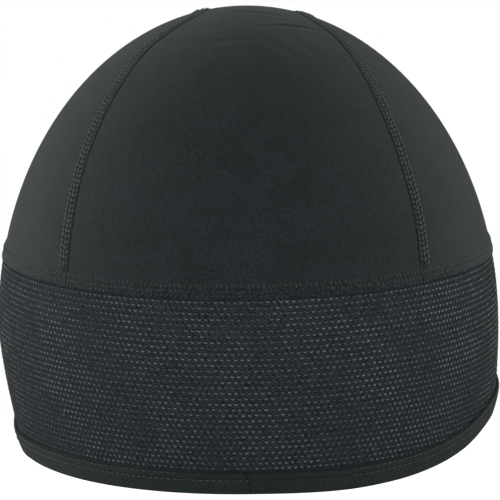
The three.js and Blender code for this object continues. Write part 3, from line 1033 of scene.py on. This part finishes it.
def band_seam_pieces():
    steps = BAND_STITCHES * SAMPLES_PER_STITCH
    angle = angle_at(AROUND * np.arange(steps) / steps)[:, None]
    across = np.linspace(-1, 1, BAND_ACROSS)
    half = BAND_SEAM_WIDTH / 2
    wall = wall_point(angle, SEAM_LEVEL + across * half)
    phase = np.arange(steps)[:, None] / SAMPLES_PER_STITCH
    drift = random.normal(0, 0.08, BAND_STITCHES)
    phase = phase + np.interp(phase, np.arange(BAND_STITCHES), drift, period=BAND_STITCHES)
    crossing = crossing_steps(wall) * smooth_step(1, 0.7, np.abs(across))
    relief = rolled_edge(across, angle) - STEP_DEPTH * crossing
    outer = raised(wall, band_seam_height(across, phase) + relief)
    depth = CROWN_WALL + SEAM_INSIDE * (1 - across**4) + 0.05
    inner = raised(wall, -depth + np.zeros((steps, 1)))
    points, faces = shell(outer, inner, wrap=True)
    ribbon = make_piece("band_seam_cloth", points, [faces], seam_cloth, sharp=50)
    crown_share = smooth_step(-0.05, 0.05, across - tone_line(angle))
    ribbon.data.materials.append(mesh_edge)
    of_mesh = np.tile(crown_share.ravel(), 2)[faces].mean(axis=1) < 0.5
    ribbon.data.polygons.foreach_set("material_index", of_mesh.astype(np.int32))
    uneven = random.uniform(0.5, 1.1, (steps, BAND_ACROSS)) * (0.7 + 0.3 * crown_share)
    shade = SHADE * (1 - crown_share) * smooth_step(*SHADE_REACH, from_middle(angle))
    # Painted shade in the pits and along the lower edge, at each crown seam's step, and under the
    # crown's rolled edge at the sides
    marks = np.maximum(band_marks(across, phase) * uneven, np.maximum(STEP_SHADE * crossing, shade))
    set_value(ribbon, "painted_shade", np.tile(marks.ravel(), 2))
    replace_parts(ribbon, "band_seam")

    crown_side, mesh_side = [], []
    for row in BAND_ROWS:
        along = np.arange(BAND_STITCHES) + drift + random.normal(0, 0.05, BAND_STITCHES)
        slip = random.normal(0, 0.06, BAND_STITCHES)
        top = angle_at(AROUND * (along + row["upper_shift"]) / BAND_STITCHES)
        foot = angle_at(AROUND * (along + row["lower_shift"]) / BAND_STITCHES)
        start = wall_point(top, SEAM_LEVEL + (row["upper"] + slip) * half)
        end = wall_point(foot, SEAM_LEVEL + (row["lower"] + slip) * half)
        lie = SEAM_PROUD / 2 + random.normal(0, 0.06, BAND_STITCHES)
        start, end, up = raised(start, lie), raised(end, lie), wall_normal((start + end) / 2)
        thick = row["radius"] * random.uniform(0.7, 1.2, BAND_STITCHES)
        on_crown = (row["upper"] + row["lower"]) / 2 > tone_line(top)
        for kept, rows in ((on_crown, crown_side), (~on_crown, mesh_side)):
            if kept.any():
                rows.append(grains(start[kept], end[kept], up[kept], thick[kept], STITCH_ARCH))
    upper = stitches("band_seam_crown_stitches", crown_side, band_thread)
    lower = stitches("band_seam_mesh_stitches", mesh_side, dark_thread)

    turns = np.arange(2 * BAND_STITCHES)
    swing = BAND_LOOPER_SWING * half * np.where(turns % 2 == 0, -1, 1)
    line = wall_point(angle_at(AROUND * turns / len(turns)), SEAM_LEVEL + swing)
    inside = looper("band_seam_looper", line, BAND_LOOPER_DEPTH, wrap=True)
    return ribbon, upper, lower, inside


band_seam = band_seam_pieces()
print(f"band seam: {BAND_STITCHES} stitches round")

# %% [markdown]
# ## The eyelet mesh
# The band's knit has a staggered eyelet every 1.95 mm, in rows 1.66 mm apart. A field of
# staggered holes is a honeycomb: each cell is a hexagon with one hole. The knit has a second,
# plain layer behind the holes, so each is a small deep pocket and lets no light through. A
# cell is rings of six points: the hexagon, the foot and the crest of the rim, the bottom of
# the hole, and the hexagon again at the inside. Neighbours share the hexagon's points,
# which whole numbers on a half-step lattice make exact, and the free edges get a wall.
#
# Under the hole the crest stands higher. That is the dropped stitch's loop, and a number for
# each point tells the material where to paint the loop's highlight. The loops are uneven, and
# in soft patches they nearly sink into the cloth. Down towards the hem they stand lower and
# their painted highlight is dimmer, which is painted shade. The field is cut in three rings of
# rows, because one piece would have too many faces.

# %% Mesh band
KNITTED_PITCH = 1.95
EYELETS = round(AROUND / KNITTED_PITCH)
EYELET_PITCH = AROUND / EYELETS
ROW_PITCH = 1.66
HOLE_RADIUS = 0.2
CREST_RADIUS = 0.42
FOOT_RADIUS = 0.62
HOLE_DEPTH = 0.55
MESH_START = SEAM_LEVEL - BAND_SEAM_WIDTH / 2 + UNDERLAP
HIDDEN_IN_FOLD = 2.4
# How uneven the knitting is, how high the crest and its loop stand, and how far loops fade
EYELET_DRIFT = 0.035
CREST_RISE = 0.03
LOOP_RISE = 0.15
LOOP_UNEVEN = 0.75
FADE_LENGTH = 24.0
FADE = 0.45
# Painted shade low on the band: the loops' rise and painted highlight drop by this share between these
# heights
HEM_LOOP_DIMMING = 0.3
HEM_LOOP_DIMMING_REACH = (SEAM_LEVEL - 25, SEAM_LEVEL - 55)
HIGH_CORNER = (EYELET_PITCH**2 / 4 + ROW_PITCH**2) / (2 * ROW_PITCH)
SIDE_CORNER = ROW_PITCH - HIGH_CORNER
CELL_CORNERS = 6
# Corners of a cell: half eyelet steps across, the lattice's level key, rise in mm and turn
CORNER_STEP = np.array([0, 1, 1, 0, -1, -1])
CORNER_LEVEL = np.array([2, 1, 0, -1, 0, 1])
CORNER_RISE = np.array([1, 0, 0, -1, 0, 0]) * HIGH_CORNER + np.array([0, 1, -1, 0, -1, 1]) * SIDE_CORNER
CORNER_TURN = np.radians([90, 30, -30, -90, -150, 150])
# How much each corner of the crest belongs to the loop, which is at the foot of the hole. It
# sets the loop's rise and its painted highlight
LOOP_SHARE = np.array([0.0, 0.0, 0.75, 1.0, 0.75, 0.0])


def mesh_place(step, drop, height):
    """Point of the mesh: half eyelet steps round, millimetres below its top, and height."""
    angle = angle_at(step * EYELET_PITCH / 2)
    return band_point(angle, MESH_START - drop, height)


faded = soft_patches(FADE_LENGTH)


def loops_dimmed_towards_hem(points):
    """1 high on the band, and less down towards the hem, where the loops stand lower and their
    painted highlight is dimmer: painted shade low on the band."""
    return 1 - HEM_LOOP_DIMMING * smooth_step(*HEM_LOOP_DIMMING_REACH, points[..., 2])


def mesh_ring(name, first_row, last_row):
    """Cells of some rows as one closed piece. First come the corners that cells share,
    outside and inside, then each cell's own three rings from its foot to its bottom."""
    row, column = np.meshgrid(np.arange(first_row, last_row), np.arange(EYELETS), indexing="ij")
    step = (2 * column + row % 2).ravel()
    row = row.ravel()
    drop = HIGH_CORNER + row * ROW_PITCH
    lowest = hem_level(angle_at(step * EYELET_PITCH / 2)) + HIDDEN_IN_FOLD
    kept = MESH_START - drop - HIGH_CORNER > lowest
    step, row, drop = step[kept], row[kept], drop[kept]
    cells = len(step)

    corner_step = np.mod(step[:, None] + CORNER_STEP, 2 * EYELETS)
    corner_key = 2 * (last_row - row)[:, None] + CORNER_LEVEL
    keys, corner = np.unique(corner_key * 4 * EYELETS + corner_step, return_inverse=True)
    corner = corner.reshape(cells, CELL_CORNERS)
    shared = len(keys)
    shared_step, shared_drop = np.empty(shared), np.empty(shared)
    shared_step[corner.ravel()] = corner_step.ravel()
    shared_drop[corner.ravel()] = (drop[:, None] - CORNER_RISE).ravel()

    drift = random.normal(0, EYELET_DRIFT, (cells, 2))
    vigour = 1 - LOOP_UNEVEN * random.random(cells) ** 1.4
    place = mesh_place(step, drop, 0)
    # Soft random patches of faint loops, and painted shade towards the hem
    vigour = vigour * (1 - FADE + FADE * faded(place)) * loops_dimmed_towards_hem(place)
    centre_step = step + drift[:, 0] * 2 / EYELET_PITCH
    centre_drop = drop + drift[:, 1]

    def ring(radius, height):
        ring_step = centre_step[:, None] + radius * np.cos(CORNER_TURN) * 2 / EYELET_PITCH
        ring_drop = centre_drop[:, None] - radius * np.sin(CORNER_TURN)
        return mesh_place(ring_step, ring_drop, height).reshape(-1, 3)

    lip = vigour[:, None] * LOOP_SHARE
    own_rings = [
        ring(FOOT_RADIUS, 0 * lip),
        ring(CREST_RADIUS, CREST_RISE + LOOP_RISE * lip),
        ring(HOLE_RADIUS, 0 * lip - HOLE_DEPTH),
    ]
    outside = mesh_place(shared_step, shared_drop, np.zeros(shared))
    inside = mesh_place(shared_step, shared_drop, np.full(shared, -MESH_WALL))
    points = np.concatenate([outside, inside, *own_rings])

    own = 2 * shared + np.arange(3 * cells * CELL_CORNERS).reshape(3, cells, CELL_CORNERS)
    rings = [corner, *own]
    faces = []
    for a, b in zip(rings[:-1], rings[1:]):
        turned = [a, np.roll(a, -1, axis=1), np.roll(b, -1, axis=1), b]
        faces.append(np.stack(turned, axis=-1).reshape(-1, 4))
    for floor_ring in (own[-1], corner[:, ::-1] + shared):
        faces += [floor_ring[:, [0, 1, 2, 3]], floor_ring[:, [0, 3, 4, 5]]]
    edges = np.stack([corner, np.roll(corner, -1, axis=1)], axis=-1).reshape(-1, 2)
    ordered = np.sort(edges, axis=1)
    _, first, uses = np.unique(
        ordered[:, 0] * shared + ordered[:, 1], return_index=True, return_counts=True
    )
    free = edges[first[uses == 1]]
    wall = np.stack([free[:, 1], free[:, 0], free[:, 0] + shared, free[:, 1] + shared], axis=-1)
    faces = outward(points, np.concatenate(faces + [wall]))
    piece = make_piece(name, points, [faces], mesh_knit, sharp=60)
    # The loops' painted highlight, which the material reads
    loop_highlight = np.zeros(len(points))
    loop_highlight[own[1].ravel()] = lip.ravel()
    set_value(piece, "loop_highlight", loop_highlight)
    print(f"  {cells} eyelets")
    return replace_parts(piece, "mesh_band")


mesh_upper = mesh_ring("mesh_band_upper", 0, 12)
mesh_middle = mesh_ring("mesh_band_middle", 12, 24)
mesh_lower = mesh_ring("mesh_band_lower", 24, 38)

# %% [markdown]
# ## The hem's binding
# A knitted strip folded round the mesh's edge and sewn through with two rows of
# coverstitch, 2.1 mm to a stitch. The profile is an upright leg, a half circle and a leg
# inside. The rows press two grooves into the outer leg, and the strip below them is pulled
# into faint ripples. Painted shade darkens each groove, the strip's upper edge and the join's
# slit. At the middle of the back one end of the strip laps over the other, and
# beside the join the stitches sink into the double cloth and hardly show.

# %% The binding's relief
HEM_STITCH = 2.1
HEM_STITCHES = round(AROUND / HEM_STITCH)
HEM_SAMPLES = 4
# Rows of stitches: height above the edge, where they sink in, in mm from the middle, and
# half thickness
HEM_ROWS = table(
    "above sunk_from sunk_to radius", [(5.7, -1.5, 30.0, 0.15), (7.75, -23.0, 30.0, 0.12)]
)
GROOVE_DEPTH = 0.16
JOIN_X = 0.1
JOIN_LEAN = 0.035
JOIN_PROUD = 0.3
JOIN_FADE = 9.0
FAR = 99.0


def past_join(angle, above):
    """Millimetres to the right of the join on the back, which leans to the left along a
    parabola, and far off in front."""
    join = JOIN_X - JOIN_LEAN * np.clip(above - 1.5, 0, None) ** 2
    return np.where(np.cos(angle) > 0, HALF_WIDTH * np.sin(angle) - join, -FAR)


def hem_marks(angle, above):
    """0 to 1: a line of painted shade over each row of stitches, at the upper edge and in the join's
    slit. It also gives their depth.
    """
    lines = sum(0.6 * bell((above - row["above"] - 0.3) / 0.22) for row in HEM_ROWS)
    lines = lines + 0.7 * bell((above - HEM_HEIGHT) / 0.16)
    slit = 0.9 * bell((past_join(angle, above) + 0.15) / 0.28) * smooth_step(0.3, 1.5, above)
    return np.clip(lines + slit, 0, 1)


def hem_relief(angle, above, phase):
    """Height of the outer leg by its height above the hem: grooves, ripples and the join,
    where the upper end is proud and thins out to the right."""
    ripple = 0.05 * np.cos(2 * math.pi * phase) + 0.03 * np.cos(4.4 * math.pi * phase)
    relief = ripple * bell((above - 3.4) / 1.4) - GROOVE_DEPTH * hem_marks(angle, above)
    beyond = past_join(angle, above)
    lap = smooth_step(0, 0.25, beyond) * np.exp(-np.clip(beyond, 0, None) / JOIN_FADE)
    return relief + JOIN_PROUD * lap * smooth_step(0.6, 2.2, above)


# %% The binding's strip, stitches and looper
# Heights of the outer leg's points, close together below the stitches, where it curves
BEND_START = 1.9
CLOSE_FROM = 5.0
OPEN_LEG = np.concatenate(
    [np.linspace(HEM_HEIGHT, CLOSE_FROM, 15, endpoint=False), np.linspace(CLOSE_FROM, BEND_START, 6)]
)
BACK_LEG = OPEN_LEG[::-3]
FOLD_STEPS = 7
STRIP_STEP = 0.5
SUNK_STITCH = 0.45
HEM_ARCH = 0.14
LOOPER_OFF = 0.1


def on_binding(angle, above, out):
    return band_point(angle, hem_level(angle) + above, out)


def binding_side(angle, phase, radius, is_face):
    """One side of the folded strip, round the mesh's middle layer: straight up the outer
    leg, a half circle under the edge and straight up the inner leg. Only the face has
    relief, which fades where the strip turns under."""
    bend = np.linspace(0, math.pi, FOLD_STEPS)
    above = np.concatenate([OPEN_LEG, FOLD_RADIUS - radius * np.sin(bend), BACK_LEG])
    out = np.concatenate([0 * OPEN_LEG + radius, radius * np.cos(bend), 0 * BACK_LEG - radius])
    relief = hem_relief(angle, above, phase) * smooth_step(-0.2, 1, out) if is_face else 0 * phase
    return on_binding(angle + 0 * above, above, out + relief - MESH_WALL / 2)


def binding_pieces():
    steps = HEM_STITCHES * HEM_SAMPLES
    length = AROUND * np.arange(steps) / steps
    angle = angle_at(length)[:, None]
    phase = np.arange(steps)[:, None] / HEM_SAMPLES
    outer = binding_side(angle, phase, FOLD_RADIUS, True)
    inner = binding_side(angle, phase, FOLD_RADIUS - BINDING_WALL, False)
    points, faces = shell(outer, inner, wrap=True)
    strip = make_piece("hem_binding_strip", points, [faces], binding_knit, sharp=50)
    marks = np.zeros((2, *outer.shape[:2]))
    marks[0, :, : len(OPEN_LEG)] = hem_marks(angle, OPEN_LEG)
    # Painted shade on the outer leg: in the grooves, at the upper edge and in the join's slit
    set_value(strip, "painted_shade", marks)
    set_uv(strip, *np.meshgrid(length, np.arange(outer.shape[1]) * STRIP_STEP, indexing="ij"))
    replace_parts(strip, "hem_binding")

    number = np.arange(HEM_STITCHES)
    start_angle = angle_at(AROUND * (number + 0.15) / HEM_STITCHES)
    end_angle = angle_at(AROUND * (number + 0.85) / HEM_STITCHES)
    x = np.where(np.cos(start_angle) > 0, HALF_WIDTH * np.sin(start_angle), FAR)
    rows = []
    for row in HEM_ROWS:
        sunk = (x > row["sunk_from"]) & (x < row["sunk_to"])
        out = FOLD_RADIUS - MESH_WALL / 2 - SUNK_STITCH * sunk
        start = on_binding(start_angle, row["above"], out)
        end = on_binding(end_angle, row["above"], out)
        thick = row["radius"] * random.uniform(0.7, 1.1, HEM_STITCHES)
        rows.append(grains(start, end, wall_normal((start + end) / 2), thick, HEM_ARCH))
    seen = stitches("hem_binding_stitches", rows, crown_thread)

    turns = np.arange(2 * HEM_STITCHES)
    swing = np.where(turns % 2 == 0, *HEM_ROWS["above"])
    out = np.full(len(turns), -MESH_WALL / 2 - FOLD_RADIUS - LOOPER_OFF)
    line = on_binding(angle_at(AROUND * turns / len(turns)), swing, out)
    inside = looper("hem_binding_looper", line, 0.0, wrap=True)
    return strip, seen, inside


binding = binding_pieces()
print(f"binding: {HEM_STITCHES} stitches in each row")

# %% [markdown]
# ## The cloth
# Every knitted piece is a sheet. Its cut is a little smaller than it is worn, because the cap
# stretches over the head. The real mesh is one cut, and here it is made in three rings.


# %% [markdown]
# ## Floor, camera and light
# A cap that is held up by its crown hangs free, so the floor is a plain pale one well below
# it. The camera stands level with the nape and a little above, with a long lens. Soft boxes
# stand at both sides and a little behind them, so the brushed cloth blooms at its edges. A
# wide one in front and one above fill the rest.

# %% Floor
FLOOR_DROP = 2.5
FLOOR_HALF = 12.0


def pale_floor():
    """A square, bright enough by itself to be as white as the room behind it."""
    material, tree, shader = new_material("pale studio floor")
    set_inputs(shader, {"Base Color": from_hex("#f4f4f2"), "Roughness": 0.9})
    set_inputs(shader, {"Emission Color": from_hex("#ffffff"), "Emission Strength": 1.0})
    h, z = FLOOR_HALF, -FLOOR_DROP
    corners = [(-h, -h, z), (h, -h, z), (h, h, z), (-h, h, z)]
    mesh = bpy.data.meshes.new("floor")
    mesh.from_pydata(corners, [], [(0, 1, 2, 3)])
    mesh.materials.append(material)
    floor = bpy.data.objects.new("floor", mesh)
    bpy.context.collection.objects.link(floor)
    floor.visible_diffuse = False
    floor.visible_glossy = False


pale_floor()
print("floor", FLOOR_DROP, "m below the head's crown")

# %% Camera
VIEW_ELEVATION = math.radians(9.57)
VIEW_DISTANCE = 1.2
# The picture's width at the cap in metres, and the cap's slight lean in it
PICTURE_WIDTH = 0.1579
VIEW_ROLL = math.radians(0.8)
AIM = Vector((0.0008, 0, -0.0757))
RING_MIDDLE = Vector((0, 0, WIDEST * MM))


def stand(name, data, turn, rise, distance, target, roll=0.0):
    """A camera or light at a distance from the middle of the widest ring, turned round from
    the back and risen above it. It looks at the target and is rolled about its own axis."""
    thing = bpy.data.objects.new(name, data)
    level = math.cos(rise)
    away = Vector((math.sin(turn) * level, -math.cos(turn) * level, math.sin(rise)))
    thing.location = RING_MIDDLE + distance * away
    look = (target - thing.location).to_track_quat("-Z", "Y")
    thing.rotation_mode = "QUATERNION"
    thing.rotation_quaternion = look @ Quaternion((0, 0, 1), roll)
    bpy.context.collection.objects.link(thing)
    return thing


camera_data = bpy.data.cameras.new("camera")
camera = stand("camera", camera_data, 0, VIEW_ELEVATION, VIEW_DISTANCE, AIM, -VIEW_ROLL)
camera_data.lens = camera_data.sensor_width * VIEW_DISTANCE / PICTURE_WIDTH
camera_data.clip_start, camera_data.clip_end = 0.1, 40
bpy.context.scene.camera = camera
print(f"lens {camera_data.lens:.0f} mm at {VIEW_DISTANCE} m")

# %% Light
LIGHT_DISTANCE = 1.3
LIGHT_SIZE = 0.9
# Soft boxes: degrees round from the camera's side, degrees up, watts
LIGHTS = [
    ("left soft box", -90, 10, 6.8),
    ("left rear soft box", -120, 10, 4.3),
    ("right soft box", 90, 10, 4.5),
    ("right rear soft box", 120, 10, 2.6),
    ("front soft box", 0, 12, 10.6),
    ("top soft box", 0, 89, 1.3),
]
for name, turn, rise, power in LIGHTS:
    data = bpy.data.lights.new(name, "AREA")
    data.shape, data.size, data.energy = "SQUARE", LIGHT_SIZE, power
    stand(name, data, math.radians(turn), math.radians(rise), LIGHT_DISTANCE, RING_MIDDLE)

# The room is white to the eye, and dim as a light, so that the dark cloth keeps its shading
ROOM_LIGHT = 0.2
world = bpy.data.worlds.new("studio")
bpy.context.scene.world = world
world.use_nodes = True
room = world.node_tree
room.nodes.clear()
seen = add_node(room, "ShaderNodeLightPath", {}).outputs["Is Camera Ray"]
white = {"Color": from_hex("#ffffff")}
dim = add_node(room, "ShaderNodeBackground", white | {"Strength": ROOM_LIGHT}).outputs[0]
bright = add_node(room, "ShaderNodeBackground", white | {"Strength": 1.0}).outputs[0]
both = add_node(room, "ShaderNodeMixShader", {"Fac": seen, 1: dim, 2: bright}).outputs[0]
add_node(room, "ShaderNodeOutputWorld", {"Surface": both})
bpy.context.scene.view_settings.view_transform = "Standard"
print(len(LIGHTS), "soft boxes")
